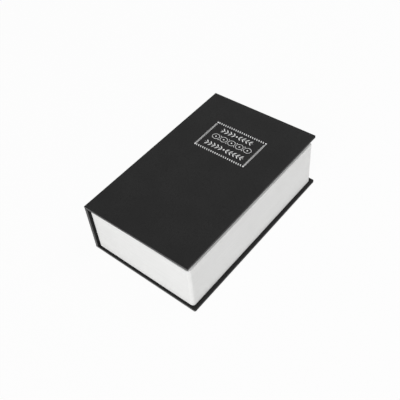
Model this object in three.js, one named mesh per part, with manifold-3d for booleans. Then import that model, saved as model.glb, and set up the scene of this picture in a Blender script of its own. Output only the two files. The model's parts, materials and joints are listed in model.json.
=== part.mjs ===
// Book diversion safe: a hardback book whose moulded block of pages hides a steel box with a cam lock.
// Millimetres, +Z up. X runs from the spine to the fore edge, Y from the tail to the head.
// Every piece is placed from the outer face of the spine, x = 0, and the whole is centred at the end.

import * as THREE from 'three';
import { mergeVertices } from 'three/addons/utils/BufferGeometryUtils.js';
import Module from 'manifold-3d';

const wasm = await Module();
wasm.setup();

// Covers: greyboard wrapped in a leatherette sheet that is turned in and lined with paper
const book_height = 180;
const book_thickness = 55;
const back_cover_width = 115.8;
const front_cover_setback = 2.2;
const cover_thickness = 2;
const back_cover_corner = 1.4;
const front_cover_corner = 0.7;
const spine_thickness = 3;
const wrap_sheet = 0.3;
const turn_in = 12;
const lining_sheet = 0.2;
const lining_margin = 2;
const paste_gap = 0.05;
const crease_gap = 0.15;
const ajar_degrees = 1.64;

// Page block: one hollow moulding with a top rim, a skirt round the lid and a base flange
const page_tail_inset = 2.3;
const page_fore_inset = 3.4;
const page_spine_gap = 0.5;
const page_top_gap = 3.3;
const page_corner = 3;
const page_spine_corner = 1.5;
const page_wall = 1.8;
const rim_width = 7;
const rim_plate = 1.8;
const skirt_wall = 1.6;
const skirt_depth = 12;
const opening_corner = 3;
const base_flange = 2;
const base_flange_width = 16;
const rib = 1.2;
const rib_pitch = 28;

// Steel box: folded sheet with an inward ledge on three sides
const sheet_steel = 1;
const box_clearance = 0.3;
const ledge_width = 8;
const lid_recess = 3;
const lid_seat_gap = 0.3;
const lid_edge_gap = 0.5;
const lid_corner = 2.5;
const floor_seat_gap = 0.05;

// Box hinge: knuckles curled from the two sheets on one pin
const knuckle_radius = 2;
const knuckle_length = 24;
const knuckle_count = 5;
const knuckle_gap = 0.4;
const knuckle_notch = 2;
const pin_radius = 1;
const pin_running_gap = 0.15;
const pin_overhang = 1;
const pin_chamfer = 0.3;

// Floor rivets: domed heads inside the box, shanks in the base flange
const rivet_head_radius = 3.2;
const rivet_head_height = 1.4;
const rivet_radius = 1.5;
const rivet_hole_gap = 0.2;
const rivet_edge_distance = 4.2;

// Cam lock through the lid
const lock_head_radius = 9;
const lock_head_height = 2.4;
const lock_head_chamfer = 0.8;
const barrel_radius = 6;
const barrel_across_flats = 10.4;
const barrel_length = 12;
const barrel_hole_gap = 0.2;
const plug_radius = 4.5;
const plug_face_radius = 5.6;
const plug_face_height = 1.2;
const plug_gap = 0.15;
const keyway_width = 1.8;
const keyway_length = 6.4;
const keyway_depth = 9;
const lock_nut_across = 16;
const lock_nut_sides = 6;
const lock_nut_height = 2.5;
const lock_nut_gap = 0.15;
const lock_washer_radius = 8.5;
const lock_washer_sheet = 0.6;
const lock_ledge_gap = 0.8;
const stack_gap = 0.1;

// Stop washer, cam and screw on the plug's square tail
const tail_square = 5.4;
const tail_gap = 0.15;
const stop_sheet = 1;
const stop_hub_radius = 4.4;
const stop_post_degrees = 40;
const stop_free_degrees = 1.5;
const turn_degrees = 90;
const cam_sheet = 1.5;
const cam_hub_radius = 6.2;
const cam_half_width = 4;
const cam_reach = 15.5;
const cam_tip_corner = 1.5;
const cam_washer_radius = 4.4;
const cam_washer_sheet = 0.6;
const cam_screw_radius = 1.4;
const cam_screw_gap = 0.15;
const cam_screw_head_radius = 3.3;
const cam_screw_head_height = 1.8;
const cam_screw_depth = 5;

// Keeper: a steel angle on the fore-edge wall
const keeper_sheet = 1.2;
const keeper_width = 18;
const keeper_shelf = 7;
const keeper_gap = 0.4;

// Cuts run past the faces they break through by this much
const overrun = 1;
const arc_steps = 6;
const round_steps = 24;

// Heights and places that follow from the sizes above
const half_height = book_height / 2;
const front_cover_width = back_cover_width - front_cover_setback;
const hinge_z = book_thickness - cover_thickness;
const lining_drop = lining_sheet + 2 * paste_gap;
const spine_lining_top = hinge_z - lining_drop - paste_gap;
const spine_board_top = spine_lining_top - lining_sheet - paste_gap;
const page_bottom = cover_thickness + lining_drop;
const page_top = hinge_z - page_top_gap;
const page_spine_x = spine_thickness + page_spine_gap;
const page_fore_x = back_cover_width - page_fore_inset;
const page_half = half_height - page_tail_inset;
const opening_spine_x = page_spine_x + rim_width;
const opening_fore_x = page_fore_x - rim_width;
const opening_half = page_half - rim_width;
const lid_top = page_top - lid_recess;
const lid_bottom = lid_top - sheet_steel;
const box_spine_x = opening_spine_x + box_clearance;
const box_fore_x = opening_fore_x - box_clearance;
const box_half = opening_half - box_clearance;
const box_top = lid_bottom - lid_seat_gap;
const box_bottom = page_bottom + base_flange + floor_seat_gap;
const box_floor = box_bottom + sheet_steel;
const ledge_fore_x = box_fore_x - ledge_width;
const ledge_half = box_half - ledge_width;
const axis_x = box_spine_x + knuckle_radius;
const axis_z = lid_bottom + knuckle_radius;
const lid_spine_x = axis_x + knuckle_radius + knuckle_gap;
const lock_nut_corner = lock_nut_across / 2 / Math.cos(Math.PI / lock_nut_sides);
const lock_x = ledge_fore_x - lock_nut_corner - lock_ledge_gap;
const barrel_end = lid_top - barrel_length;
const stop_top = barrel_end - stack_gap;
const cam_top = stop_top - stop_sheet - stack_gap;
const cam_bottom = cam_top - cam_sheet;
const cam_washer_bottom = cam_bottom - stack_gap - cam_washer_sheet;

// Each call of a finish makes a material of its own
const finish = (color, roughness, metalness) => () => (
  new THREE.MeshStandardMaterial({ color, roughness, metalness })
);
const leatherette = finish(0x2b2b2b, 0.7, 0);
const greyboard = finish(0x8d867a, 0.95, 0);
const black_paper = finish(0x1a1a1a, 0.9, 0);
const white_plastic = finish(0xebebeb, 0.6, 0);
const painted_steel = finish(0x34373a, 0.5, 0.3);
const nickel = finish(0xc4c3bf, 0.25, 1);
const zinc_steel = finish(0xaeb1b3, 0.4, 1);

// A closed geometry as a solid that can be joined and cut
function solid(geometry) {
  const bare = geometry.clone();
  bare.deleteAttribute('normal');
  bare.deleteAttribute('uv');
  const merged = mergeVertices(bare);
  const vertProperties = new Float32Array(merged.attributes.position.array);
  const triVerts = new Uint32Array(merged.index.array);
  return new wasm.Manifold(new wasm.Mesh({ numProp: 3, vertProperties, triVerts }));
}

// The surface of a solid as a geometry again
function surface(body) {
  const mesh = body.getMesh();
  const geometry = new THREE.BufferGeometry();
  geometry.setAttribute('position', new THREE.BufferAttribute(mesh.vertProperties, 3));
  geometry.setIndex(new THREE.BufferAttribute(mesh.triVerts, 1));
  geometry.computeVertexNormals();
  return geometry;
}

// A cuboid between two limits on each axis
function block([x0, x1], [y0, y1], [z0, z1]) {
  const geometry = new THREE.BoxGeometry(x1 - x0, y1 - y0, z1 - z0);
  return geometry.translate((x0 + x1) / 2, (y0 + y1) / 2, (z0 + z1) / 2);
}

// A rectangle in plan, symmetric about y = 0, with one corner radius at each end of x
function roundedOutline(x0, x1, half, radius0, radius1) {
  const outline = new THREE.Shape();
  outline.moveTo(x0 + radius0, -half);
  outline.lineTo(x1 - radius1, -half);
  outline.absarc(x1 - radius1, radius1 - half, radius1, -Math.PI / 2, 0);
  outline.lineTo(x1, half - radius1);
  outline.absarc(x1 - radius1, half - radius1, radius1, 0, Math.PI / 2);
  outline.lineTo(x0 + radius0, half);
  outline.absarc(x0 + radius0, half - radius0, radius0, Math.PI / 2, Math.PI);
  outline.lineTo(x0, radius0 - half);
  outline.absarc(x0 + radius0, radius0 - half, radius0, Math.PI, Math.PI * 1.5);
  return outline;
}

// A cover in plan, symmetric about y = 0, square at the spine and round at its two fore corners
function coverOutline(x0, x1, half, radius) {
  const outline = new THREE.Shape();
  outline.moveTo(x0, -half);
  outline.lineTo(x1 - radius, -half);
  outline.absarc(x1 - radius, radius - half, radius, -Math.PI / 2, 0);
  outline.lineTo(x1, half - radius);
  outline.absarc(x1 - radius, half - radius, radius, 0, Math.PI / 2);
  outline.lineTo(x0, half);
  outline.closePath();
  return outline;
}

// An outline in plan raised between two heights
function prism(outline, z0, z1) {
  const geometry = new THREE.ExtrudeGeometry(outline, {
    depth: z1 - z0,
    bevelEnabled: false,
    curveSegments: arc_steps,
  });
  return geometry.translate(0, 0, z0);
}

// A profile of radius and height turned about a vertical axis
function turned(profile) {
  const points = profile.map(([radius, z]) => new THREE.Vector2(radius, z));
  return new THREE.LatheGeometry(points, round_steps).rotateX(Math.PI / 2);
}

// A flat ring between two radii and two heights
function ring(inner, outer, z0, z1) {
  return turned([[inner, z0], [outer, z0], [outer, z1], [inner, z1], [inner, z0]]);
}

// A round rod between two heights
function rod(radius, z0, z1) {
  return turned([[0, z0], [radius, z0], [radius, z1], [0, z1]]);
}

// A square hole in a flat outline
function squareHole(side) {
  const hole = new THREE.Path();
  hole.moveTo(-side / 2, -side / 2);
  hole.lineTo(-side / 2, side / 2);
  hole.lineTo(side / 2, side / 2);
  hole.lineTo(side / 2, -side / 2);
  hole.closePath();
  return hole;
}

function piece(name, geometry, material) {
  const mesh = new THREE.Mesh(geometry, material);
  mesh.name = name;
  return mesh;
}

// The leatherette round one cover board: outer sheet, four edges and turn-ins on three sides.
// The outer face is at z = 0, and the turn-ins lie at the inner face.
function coverWrap(width, corner) {
  const outer = coverOutline(0, width, half_height, corner);
  const inner = coverOutline(
    wrap_sheet, width - wrap_sheet, half_height - wrap_sheet, corner - wrap_sheet,
  );
  const window = block(
    [wrap_sheet, width - turn_in],
    [turn_in - half_height, half_height - turn_in],
    [wrap_sheet, cover_thickness + overrun],
  );
  return solid(prism(outer, 0, cover_thickness))
    .subtract(solid(prism(inner, wrap_sheet, cover_thickness - wrap_sheet)))
    .subtract(solid(window));
}

// The board inside that wrap
function coverBoard(width, corner) {
  const edge = wrap_sheet + paste_gap;
  const outline = coverOutline(edge, width - edge, half_height - edge, corner - edge);
  return prism(outline, edge, cover_thickness - edge);
}

// The paper pasted over the turn-ins, from a start near the spine
function coverLining(start, width) {
  const z = cover_thickness + paste_gap;
  const limit = half_height - lining_margin;
  return block([start, width - lining_margin], [-limit, limit], [z, z + lining_sheet]);
}

// The spine's wrap is a C-shaped section round the board, and its outer sheet runs on to the crease
function spineWrap() {
  const inner = half_height - wrap_sheet;
  const lip = half_height - turn_in;
  const section = new THREE.Shape();
  section.moveTo(0, -half_height);
  section.lineTo(spine_thickness, -half_height);
  section.lineTo(spine_thickness, -lip);
  section.lineTo(spine_thickness - wrap_sheet, -lip);
  section.lineTo(spine_thickness - wrap_sheet, -inner);
  section.lineTo(wrap_sheet, -inner);
  section.lineTo(wrap_sheet, inner);
  section.lineTo(spine_thickness - wrap_sheet, inner);
  section.lineTo(spine_thickness - wrap_sheet, lip);
  section.lineTo(spine_thickness, lip);
  section.lineTo(spine_thickness, half_height);
  section.lineTo(0, half_height);
  section.closePath();
  const bottom = cover_thickness + paste_gap;
  const outer_sheet = block([0, wrap_sheet], [-half_height, half_height], [bottom, hinge_z - crease_gap]);
  return solid(prism(section, bottom, spine_board_top)).add(solid(outer_sheet));
}

function spineBoard() {
  const edge = wrap_sheet + paste_gap;
  return block(
    [edge, spine_thickness - edge],
    [edge - half_height, half_height - edge],
    [cover_thickness + paste_gap, spine_board_top],
  );
}

// The spine's paper runs up its inner face and over its top edge to the crease
function spineLining() {
  const inner_x = spine_thickness + paste_gap;
  const outer_x = inner_x + lining_sheet;
  const section = [
    [inner_x, page_bottom],
    [outer_x, page_bottom],
    [outer_x, spine_lining_top],
    [wrap_sheet + paste_gap, spine_lining_top],
    [wrap_sheet + paste_gap, spine_lining_top - lining_sheet],
    [inner_x, spine_lining_top - lining_sheet],
  ].map(([x, z]) => new THREE.Vector2(x, z));
  const length = 2 * (half_height - lining_margin);
  const sheet = new THREE.ExtrudeGeometry(new THREE.Shape(section), { depth: length, bevelEnabled: false });
  return sheet.rotateX(Math.PI / 2).translate(0, length / 2, 0);
}

// Where the four rivets go through the box floor and the base flange
function rivetPlaces() {
  const near_x = box_spine_x + sheet_steel + rivet_edge_distance;
  const far_x = box_fore_x - sheet_steel - rivet_edge_distance;
  const y = box_half - sheet_steel - rivet_edge_distance;
  return [[near_x, -y], [far_x, -y], [far_x, y], [near_x, y]];
}

function rivetHoles(z0, z1) {
  const hole = solid(rod(rivet_radius + rivet_hole_gap, z0, z1));
  return rivetPlaces().map(([x, y]) => hole.translate([x, y, 0]));
}

// The ring of the moulding between its outer face and an inner outline
function pageRing(inset, corner, z0, z1) {
  const outline = roundedOutline(page_spine_x, page_fore_x, page_half, page_spine_corner, page_corner);
  const hole = roundedOutline(page_spine_x + inset, page_fore_x - inset, page_half - inset, corner, corner);
  return solid(prism(outline, z0, z1)).subtract(solid(prism(hole, z0 - overrun, z1 + overrun)));
}

// Webs between the outer wall and the box, evenly spaced along each side
function pageRibs() {
  const start = page_wall / 2;
  const depth = rim_width - start;
  const long_count = Math.floor((2 * opening_half) / rib_pitch);
  const short_count = Math.floor((opening_fore_x - opening_spine_x) / rib_pitch);
  const middle_x = (opening_spine_x + opening_fore_x) / 2;
  const heights = [page_bottom + base_flange / 2, page_top - rim_plate / 2];
  const ribs = [];
  for (let i = 0; i < long_count; i += 1) {
    const y = (i - (long_count - 1) / 2) * rib_pitch;
    const across = [y - rib / 2, y + rib / 2];
    ribs.push(block([page_spine_x + start, page_spine_x + start + depth], across, heights));
    ribs.push(block([page_fore_x - start - depth, page_fore_x - start], across, heights));
  }
  for (let i = 0; i < short_count; i += 1) {
    const x = middle_x + (i - (short_count - 1) / 2) * rib_pitch;
    const along = [x - rib / 2, x + rib / 2];
    ribs.push(block(along, [page_half - start - depth, page_half - start], heights));
    ribs.push(block(along, [start - page_half, start + depth - page_half], heights));
  }
  return ribs.map(solid);
}

function pageBlock() {
  const corner_inside = page_corner - page_wall;
  const skirt_outline = roundedOutline(
    opening_spine_x - skirt_wall,
    opening_fore_x + skirt_wall,
    opening_half + skirt_wall,
    opening_corner + skirt_wall,
    opening_corner + skirt_wall,
  );
  const opening = roundedOutline(
    opening_spine_x, opening_fore_x, opening_half, opening_corner, opening_corner,
  );
  const skirt_bottom = page_top - skirt_depth;
  const skirt = solid(prism(skirt_outline, skirt_bottom, page_top))
    .subtract(solid(prism(opening, skirt_bottom - overrun, page_top + overrun)));
  let body = pageRing(page_wall, corner_inside, page_bottom, page_top)
    .add(pageRing(rim_width, opening_corner, page_top - rim_plate, page_top))
    .add(pageRing(base_flange_width, opening_corner, page_bottom, page_bottom + base_flange))
    .add(skirt);
  for (const web of pageRibs()) {
    body = body.add(web);
  }
  for (const hole of rivetHoles(page_bottom - overrun, page_bottom + base_flange + overrun)) {
    body = body.subtract(hole);
  }
  return body;
}

// Knuckles alternate along the pin: the box has the even ones and the lid the odd ones
function knuckleCentres(remainder) {
  const ranks = Array.from({ length: knuckle_count }, (_, i) => i).filter((i) => i % 2 === remainder);
  return ranks.map((i) => (i - (knuckle_count - 1) / 2) * knuckle_length);
}

const knuckle_half = (knuckle_length - knuckle_gap) / 2;

// One curled knuckle round the hinge axis at a place along it
function knuckleTube(y) {
  const tube = new THREE.CylinderGeometry(knuckle_radius, knuckle_radius, 2 * knuckle_half, round_steps);
  return solid(tube.translate(axis_x, y, axis_z));
}

// The hole for the pin through every knuckle
function pinHole() {
  const length = knuckle_count * knuckle_length;
  const hole = new THREE.CylinderGeometry(
    pin_radius + pin_running_gap, pin_radius + pin_running_gap, length, round_steps,
  );
  return solid(hole.translate(axis_x, 0, axis_z));
}

function boxBody() {
  const wall = sheet_steel;
  const corner = opening_corner - box_clearance;
  const outer = roundedOutline(box_spine_x, box_fore_x, box_half, corner, corner);
  const inner = roundedOutline(
    box_spine_x + wall, box_fore_x - wall, box_half - wall, corner - wall, corner - wall,
  );
  const mouth = roundedOutline(
    box_spine_x + wall, ledge_fore_x, ledge_half, corner - wall, opening_corner,
  );
  const hinge_half = knuckle_count * knuckle_length / 2;
  const notch_bottom = axis_z - knuckle_radius - knuckle_notch;
  const notch = block(
    [box_spine_x - overrun, box_spine_x + wall + overrun],
    [-hinge_half, hinge_half],
    [notch_bottom, box_top + overrun],
  );
  let body = solid(prism(outer, box_bottom, box_top))
    .subtract(solid(prism(inner, box_floor, box_top - wall)))
    .subtract(solid(prism(mouth, box_floor, box_top + overrun)))
    .subtract(solid(notch));
  for (const y of knuckleCentres(0)) {
    const tab = block(
      [box_spine_x, box_spine_x + wall],
      [y - knuckle_half, y + knuckle_half],
      [notch_bottom - wall, axis_z],
    );
    body = body.add(solid(tab)).add(knuckleTube(y));
  }
  for (const hole of rivetHoles(box_bottom - overrun, box_floor + overrun)) {
    body = body.subtract(hole);
  }
  return body.subtract(pinHole());
}

function hingePin() {
  const half = knuckle_count * knuckle_length / 2 + pin_overhang;
  const profile = [
    [0, -half],
    [pin_radius - pin_chamfer, -half],
    [pin_radius, pin_chamfer - half],
    [pin_radius, half - pin_chamfer],
    [pin_radius - pin_chamfer, half],
    [0, half],
  ];
  const points = profile.map(([radius, y]) => new THREE.Vector2(radius, y));
  return new THREE.LatheGeometry(points, round_steps).translate(axis_x, 0, axis_z);
}

function floorRivet() {
  const z = box_floor + floor_seat_gap;
  const shoulder_share = 0.45;
  return turned([
    [0, page_bottom],
    [rivet_radius, page_bottom],
    [rivet_radius, z],
    [rivet_head_radius, z],
    [rivet_head_radius, z + rivet_head_height * shoulder_share],
    [rivet_head_radius / 2, z + rivet_head_height],
    [0, z + rivet_head_height],
  ]);
}

// The keeper's leg lies on the fore-edge wall, and its shelf stands out over the cam's path
function latchKeeper() {
  const wall_x = box_fore_x - sheet_steel - floor_seat_gap;
  const shelf_bottom = cam_top + keeper_gap;
  const leg = block(
    [wall_x - keeper_sheet, wall_x],
    [-keeper_width / 2, keeper_width / 2],
    [shelf_bottom, box_top - sheet_steel - floor_seat_gap],
  );
  const shelf = block(
    [wall_x - keeper_shelf, wall_x],
    [-keeper_width / 2, keeper_width / 2],
    [shelf_bottom, shelf_bottom + keeper_sheet],
  );
  return solid(leg).add(solid(shelf));
}

// A rod with two flats across Y, about the lock's own axis
function flattedRod(radius, across, z0, z1) {
  const round = solid(rod(radius, z0, z1));
  const flats = block([-radius - overrun, radius + overrun], [-across / 2, across / 2], [z0, z1]);
  return round.intersect(solid(flats));
}

function lidPanel() {
  const outline = roundedOutline(
    lid_spine_x, opening_fore_x - lid_edge_gap, opening_half - lid_edge_gap, lid_corner, lid_corner,
  );
  let body = solid(prism(outline, lid_bottom, lid_top));
  for (const y of knuckleCentres(1)) {
    const tab = block(
      [axis_x, lid_spine_x + sheet_steel],
      [y - knuckle_half, y + knuckle_half],
      [lid_bottom, lid_top],
    );
    body = body.add(solid(tab)).add(knuckleTube(y));
  }
  const barrel_hole = flattedRod(
    barrel_radius + barrel_hole_gap,
    barrel_across_flats + 2 * barrel_hole_gap,
    lid_bottom - overrun,
    lid_top + overrun,
  );
  return body.subtract(barrel_hole.translate([lock_x, 0, 0])).subtract(pinHole());
}

// A sector of a ring in plan, from one angle to another
function sector(inner, outer, degrees0, degrees1, z0, z1) {
  const start = THREE.MathUtils.degToRad(degrees0);
  const end = THREE.MathUtils.degToRad(degrees1);
  const outline = new THREE.Shape();
  outline.absarc(0, 0, outer, start, end, false);
  outline.absarc(0, 0, inner, end, start, true);
  return solid(prism(outline, z0, z1));
}

// Head, flatted barrel and a post at the far end that the stop washer turns against
function lockHousing() {
  const bore = plug_radius + plug_gap;
  const face_bore = plug_face_radius + plug_gap;
  const head_top = lid_top + lock_head_height;
  const seat = head_top - plug_face_height - plug_gap;
  const head = solid(turned([
    [0, lid_top],
    [lock_head_radius, lid_top],
    [lock_head_radius, head_top - lock_head_chamfer],
    [lock_head_radius - lock_head_chamfer, head_top],
    [0, head_top],
  ]));
  const barrel = flattedRod(barrel_radius, barrel_across_flats, barrel_end, lid_top + sheet_steel);
  const post = sector(
    bore, barrel_radius, -stop_post_degrees / 2, stop_post_degrees / 2,
    stop_top - stop_sheet, barrel_end + stop_sheet,
  );
  return head.add(barrel).add(post)
    .subtract(solid(rod(bore, stop_top - stop_sheet - overrun, head_top + overrun)))
    .subtract(solid(rod(face_bore, seat, head_top + overrun)));
}

function lockWasher() {
  const top = lid_bottom - stack_gap;
  return ring(barrel_radius + lock_nut_gap, lock_washer_radius, top - lock_washer_sheet, top);
}

function lockNut() {
  const top = lid_bottom - 2 * stack_gap - lock_washer_sheet;
  const hexagon = new THREE.CylinderGeometry(
    lock_nut_corner, lock_nut_corner, lock_nut_height, lock_nut_sides,
  );
  hexagon.rotateX(Math.PI / 2).translate(0, 0, top - lock_nut_height / 2);
  const bore = rod(barrel_radius + lock_nut_gap, top - lock_nut_height - overrun, top + overrun);
  return solid(hexagon).subtract(solid(bore));
}

// The plug: face disc, round body, square tail with the screw's hole, and the keyway from the front
function lockPlug() {
  const face_top = lid_top + lock_head_height;
  const face = rod(plug_face_radius, face_top - plug_face_height, face_top);
  const body = rod(plug_radius, barrel_end, face_top - plug_face_height / 2);
  const half_tail = tail_square / 2;
  const tail = block(
    [-half_tail, half_tail], [-half_tail, half_tail], [cam_bottom, barrel_end + stop_sheet],
  );
  const keyway = block(
    [-keyway_length / 2, keyway_length / 2],
    [-keyway_width / 2, keyway_width / 2],
    [face_top - keyway_depth, face_top + overrun],
  );
  const screw_hole = rod(
    cam_screw_radius + cam_screw_gap, cam_bottom - overrun, cam_bottom + cam_screw_depth + cam_screw_gap,
  );
  return solid(face).add(solid(body)).add(solid(tail))
    .subtract(solid(keyway))
    .subtract(solid(screw_hole));
}

// The stop washer's gap lets the post pass through a quarter turn and no more
function stopWasher() {
  const clear = stop_post_degrees / 2 + stop_free_degrees;
  const gap = sector(
    stop_hub_radius, barrel_radius + overrun, -clear, clear + turn_degrees,
    stop_top - stop_sheet - overrun, stop_top + overrun,
  );
  const outline = new THREE.Shape();
  outline.absarc(0, 0, barrel_radius, 0, 2 * Math.PI);
  outline.holes.push(squareHole(tail_square + 2 * tail_gap));
  return solid(prism(outline, stop_top - stop_sheet, stop_top)).subtract(gap);
}

// At rest the cam points to the head of the book, clear of the keeper
function cam() {
  const meet = Math.acos(cam_half_width / cam_hub_radius);
  const tip = cam_reach - cam_tip_corner;
  const side = cam_half_width - cam_tip_corner;
  const outline = new THREE.Shape();
  outline.absarc(0, 0, cam_hub_radius, Math.PI - meet, 2 * Math.PI + meet, false);
  outline.absarc(side, tip, cam_tip_corner, 0, Math.PI / 2, false);
  outline.absarc(-side, tip, cam_tip_corner, Math.PI / 2, Math.PI, false);
  outline.closePath();
  outline.holes.push(squareHole(tail_square + 2 * tail_gap));
  return prism(outline, cam_bottom, cam_top);
}

function camWasher() {
  const inner = cam_screw_radius + cam_screw_gap;
  return ring(inner, cam_washer_radius, cam_washer_bottom, cam_washer_bottom + cam_washer_sheet);
}

function camScrew() {
  const seat = cam_washer_bottom - stack_gap;
  const crown_share = 0.6;
  return turned([
    [0, seat - cam_screw_head_height],
    [cam_screw_head_radius * crown_share, seat - cam_screw_head_height],
    [cam_screw_head_radius, seat - cam_screw_head_height * crown_share],
    [cam_screw_head_radius, seat],
    [cam_screw_radius, seat],
    [cam_screw_radius, cam_bottom + cam_screw_depth],
    [0, cam_bottom + cam_screw_depth],
  ]);
}

// The back cover, the spine, the moulding and everything fixed to them
function caseGroup() {
  const group = new THREE.Group();
  group.add(piece('back_board', coverBoard(back_cover_width, back_cover_corner), greyboard()));
  group.add(piece('back_wrap', surface(coverWrap(back_cover_width, back_cover_corner)), leatherette()));
  group.add(piece('back_lining', coverLining(page_spine_x, back_cover_width), black_paper()));
  group.add(piece('spine_board', spineBoard(), greyboard()));
  group.add(piece('spine_wrap', surface(spineWrap()), leatherette()));
  group.add(piece('spine_lining', spineLining(), black_paper()));
  group.add(piece('page_block', surface(pageBlock()), white_plastic()));
  group.add(piece('box_body', surface(boxBody()), painted_steel()));
  group.add(piece('hinge_pin', hingePin(), zinc_steel()));
  group.add(piece('latch_keeper', surface(latchKeeper()), zinc_steel()));
  rivetPlaces().forEach(([x, y], i) => {
    const rivet = piece(`floor_rivet_${i + 1}`, floorRivet(), zinc_steel());
    rivet.position.set(x, y, 0);
    group.add(rivet);
  });
  return group;
}

// The front cover hangs on the crease at the spine's outer edge. Its pieces are drawn outer face down,
// as the back cover's are, so an inner group turns them over, end for end.
function frontCoverGroup() {
  const turned_over = new THREE.Group();
  const board = coverBoard(front_cover_width, front_cover_corner);
  const wrap = coverWrap(front_cover_width, front_cover_corner);
  turned_over.add(piece('front_board', board, greyboard()));
  turned_over.add(piece('front_wrap', surface(wrap), leatherette()));
  turned_over.add(piece('front_lining', coverLining(wrap_sheet, front_cover_width), black_paper()));
  turned_over.rotation.x = Math.PI;
  turned_over.position.z = cover_thickness;
  const group = new THREE.Group();
  group.add(turned_over);
  group.position.z = hinge_z;
  group.rotation.y = -THREE.MathUtils.degToRad(ajar_degrees);
  return group;
}

function lidGroup() {
  const group = new THREE.Group();
  group.add(piece('lid_panel', surface(lidPanel()), painted_steel()));
  const lock = new THREE.Group();
  lock.add(piece('lock_housing', surface(lockHousing()), nickel()));
  lock.add(piece('lock_washer', lockWasher(), zinc_steel()));
  lock.add(piece('lock_nut', surface(lockNut()), zinc_steel()));
  lock.position.x = lock_x;
  group.add(lock);
  return group;
}

function lockCoreGroup() {
  const group = new THREE.Group();
  group.add(piece('lock_plug', surface(lockPlug()), nickel()));
  group.add(piece('stop_washer', surface(stopWasher()), zinc_steel()));
  group.add(piece('cam', cam(), zinc_steel()));
  group.add(piece('cam_washer', camWasher(), zinc_steel()));
  group.add(piece('cam_screw', camScrew(), zinc_steel()));
  group.position.x = lock_x;
  return group;
}

// The ajar cover tips its outer edge a little past the spine, so the middle allows for that
const cover_tip = cover_thickness * Math.sin(THREE.MathUtils.degToRad(ajar_degrees));
const book = new THREE.Group();
book.add(caseGroup(), frontCoverGroup(), lidGroup(), lockCoreGroup());
book.position.x = (cover_tip - back_cover_width) / 2;

export default book;
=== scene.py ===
# %% [markdown]
# # A book that hides a cash box
#
# The object is a hardback book whose pages are one hollow plastic moulding with a steel box inside. The
# construction, at its real size, comes from the imported model, which is the frame of this scene: every
# piece made here is placed in the frame's metres, and all but the upper crease strip ride on one of its
# bodies. This lesson dresses that frame, piece by piece, in the finish of the real book.

# %% Load the frame
import json
import math
import random

import bpy
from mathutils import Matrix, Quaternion, Vector


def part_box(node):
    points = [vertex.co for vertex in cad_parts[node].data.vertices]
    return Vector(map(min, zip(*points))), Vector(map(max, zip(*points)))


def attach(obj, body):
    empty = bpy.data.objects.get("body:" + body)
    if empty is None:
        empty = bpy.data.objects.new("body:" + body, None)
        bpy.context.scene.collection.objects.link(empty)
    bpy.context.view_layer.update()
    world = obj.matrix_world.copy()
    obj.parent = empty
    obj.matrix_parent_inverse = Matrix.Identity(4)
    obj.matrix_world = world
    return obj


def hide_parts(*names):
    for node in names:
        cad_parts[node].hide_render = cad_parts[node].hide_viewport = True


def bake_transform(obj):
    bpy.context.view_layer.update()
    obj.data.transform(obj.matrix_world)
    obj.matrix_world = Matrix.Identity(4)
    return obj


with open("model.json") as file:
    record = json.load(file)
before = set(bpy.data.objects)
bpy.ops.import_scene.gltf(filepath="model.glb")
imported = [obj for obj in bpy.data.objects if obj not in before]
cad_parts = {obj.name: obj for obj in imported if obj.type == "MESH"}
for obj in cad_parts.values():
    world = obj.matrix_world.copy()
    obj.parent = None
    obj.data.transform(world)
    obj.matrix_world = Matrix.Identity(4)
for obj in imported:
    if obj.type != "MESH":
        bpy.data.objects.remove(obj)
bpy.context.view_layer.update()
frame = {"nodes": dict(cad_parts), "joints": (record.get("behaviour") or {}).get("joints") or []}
print("nodes in the frame:", len(frame["nodes"]))

# %% [markdown]
# ## Measures that the pieces share
#
# Real sizes are written in millimetres and turned to Blender's metres by one factor. The frame's first
# axis runs across the book from its spine, the second along the spine, and the third up. The front
# cover lies a little open, turned about the crease along the spine's top edge. Pieces on it are drawn
# as if it lay level, with the crease as their origin, and are then tipped by the same angle.

# %% Millimetres, and the crease that the cover turns on
MM = 0.001
ACROSS, ALONG, UP = range(3)
AJAR = math.radians(1.64)
COVER_THICKNESS = 2 * MM
SHEET = 0.3 * MM

joints = {joint["name"]: joint for joint in frame["joints"]}
crease = Vector(joints["cover_hinge"]["pos_m"])
back_low, back_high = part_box("back_wrap")
spine_low, spine_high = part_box("spine_wrap")
page_low, page_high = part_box("page_block")
print("crease at", tuple(round(c / MM, 2) for c in crease), "mm")
print("cover ajar by", round(math.degrees(AJAR), 2), "degrees")

# %% [markdown]
# ## Selecting and starting a mesh
#
# Operators act on whatever is selected, so every step begins by clearing the selection. Faces and edges
# are then picked in code, by where they are and which way they face, as a hand would pick them with the
# mouse. A finished piece is shaded smooth up to an angle, and its normals are weighted by area, so that
# broad faces stay flat between their rounded edges.

# %% Helpers for selecting
def leave_edit():
    bpy.ops.object.mode_set(mode="OBJECT")


def clear_selection():
    """Leave edit mode and select nothing."""
    if bpy.context.object and bpy.context.object.mode != "OBJECT":
        leave_edit()
    bpy.ops.object.select_all(action="DESELECT")


def activate(piece):
    clear_selection()
    piece.select_set(True)
    bpy.context.view_layer.objects.active = piece


def pick(piece, kind, test):
    """Open a piece in edit mode with only the faces, edges or vertices that pass a test selected."""
    activate(piece)
    bpy.ops.object.mode_set(mode="EDIT")
    bpy.ops.mesh.select_mode(type=kind)
    bpy.ops.mesh.select_all(action="DESELECT")
    leave_edit()
    mesh = piece.data
    place = [vertex.co.copy() for vertex in mesh.vertices]
    if kind == "FACE":
        for face in mesh.polygons:
            face.select = test(face.center, face.normal)
    elif kind == "EDGE":
        for edge in mesh.edges:
            edge.select = test(place[edge.vertices[0]], place[edge.vertices[1]])
    else:
        for vertex in mesh.vertices:
            vertex.select = test(vertex.co)
    bpy.ops.object.mode_set(mode="EDIT")


def edit_all(piece):
    activate(piece)
    bpy.ops.object.mode_set(mode="EDIT")
    bpy.ops.mesh.select_all(action="SELECT")


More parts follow.
